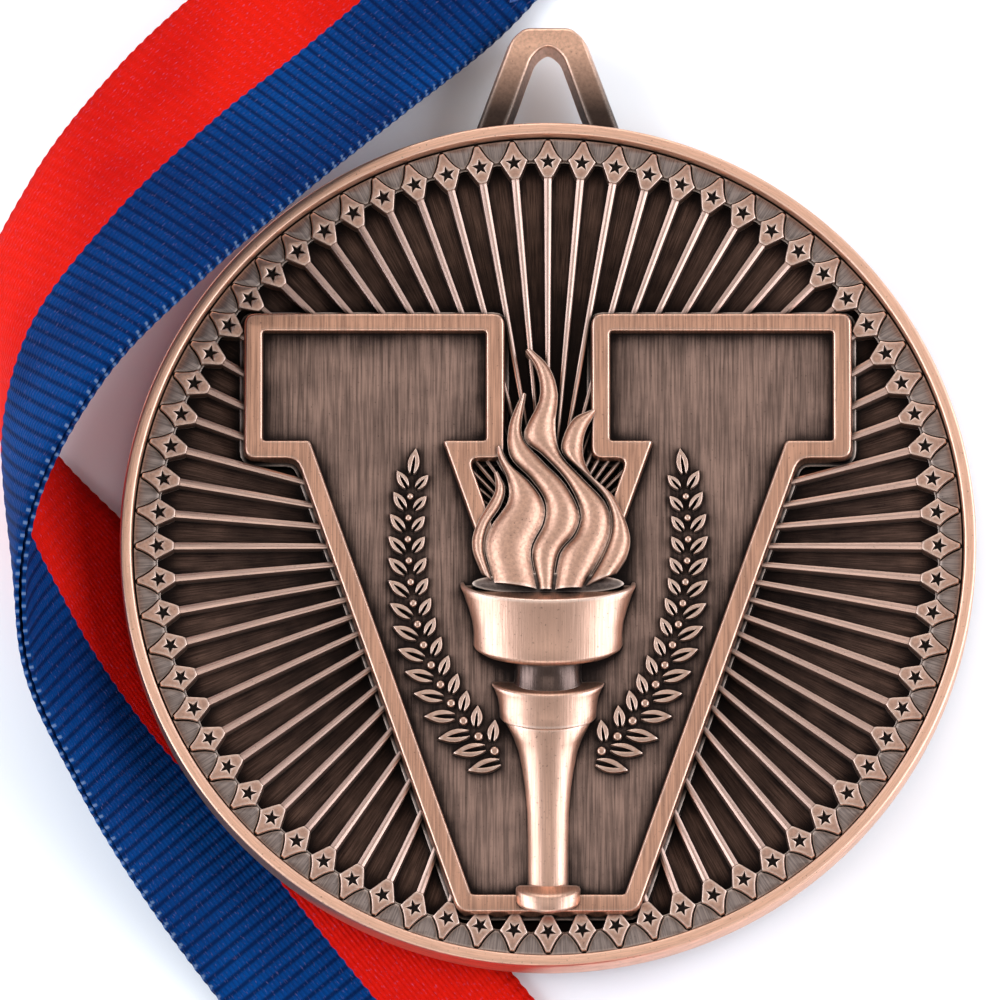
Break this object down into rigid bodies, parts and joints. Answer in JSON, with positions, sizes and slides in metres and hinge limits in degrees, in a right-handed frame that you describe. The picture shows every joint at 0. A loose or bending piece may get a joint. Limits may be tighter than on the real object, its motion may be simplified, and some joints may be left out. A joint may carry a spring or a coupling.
{
  "type": "sports finisher medal",
  "caption": "Round cast medal with a sunburst, a framed block V, a torch and laurel sprays in relief, with a striped neck ribbon and wire clip.",
  "frame": {"origin": "centre of the flat boss on the medal's reverse, on the surface it rests on", "axes": "+Z out of the medal's face, +Y from the centre to the suspension loop, +X to the right of the face"},
  "size_m": [0.0818, 0.1398, 0.0206],
  "materials": {
    "cast_bronze_dark": "antique bronze plating, dark patina",
    "cast_bronze_bright": "antique bronze plating, polished high spots",
    "cast_bronze_satin": "antique bronze plating, satin",
    "brushed_panel": "antique bronze plating, brushed lengthwise",
    "woven_ribbon": "ribbed polyester weave, half red and half blue",
    "blue_thread": "sewing thread",
    "spring_wire": "nickel-plated spring wire"
  },
  "bodies": {
    "medal_and_ribbon": {"medal_disc": "cast_bronze_dark", "raised_rim": "cast_bronze_bright", "star_rays": "cast_bronze_satin", "v_panel": "brushed_panel", "v_frame": "cast_bronze_bright", "torch_bowl": "cast_bronze_satin", "torch_neck": "cast_bronze_satin", "torch_collar": "cast_bronze_satin", "torch_handle": "cast_bronze_bright", "torch_foot": "cast_bronze_satin", "flame_tongue_1": "cast_bronze_bright", "flame_tongue_2": "cast_bronze_bright", "flame_tongue_3": "cast_bronze_bright", "flame_tongue_4": "cast_bronze_bright", "flame_tongue_5": "cast_bronze_bright", "laurel_left": "cast_bronze_satin", "laurel_right": "cast_bronze_satin", "suspension_loop": "cast_bronze_satin", "ribbon_upper_run": "woven_ribbon", "ribbon_turn": "woven_ribbon", "ribbon_lower_run": "woven_ribbon", "ribbon_roll": "woven_ribbon", "ribbon_end_fold": "woven_ribbon", "end_stitching": "blue_thread"},
    "clip": {"wire_clip": "spring_wire"}
  },
  "joints": [
    {"name": "clip_swing", "type": "hinge", "parent": "medal_and_ribbon", "child": "clip", "pos_m": [-0.00531, 0.05628, 0.0015], "axis": [0.7319, -0.6814, 0], "range_deg": [0, 150]}
  ]
}
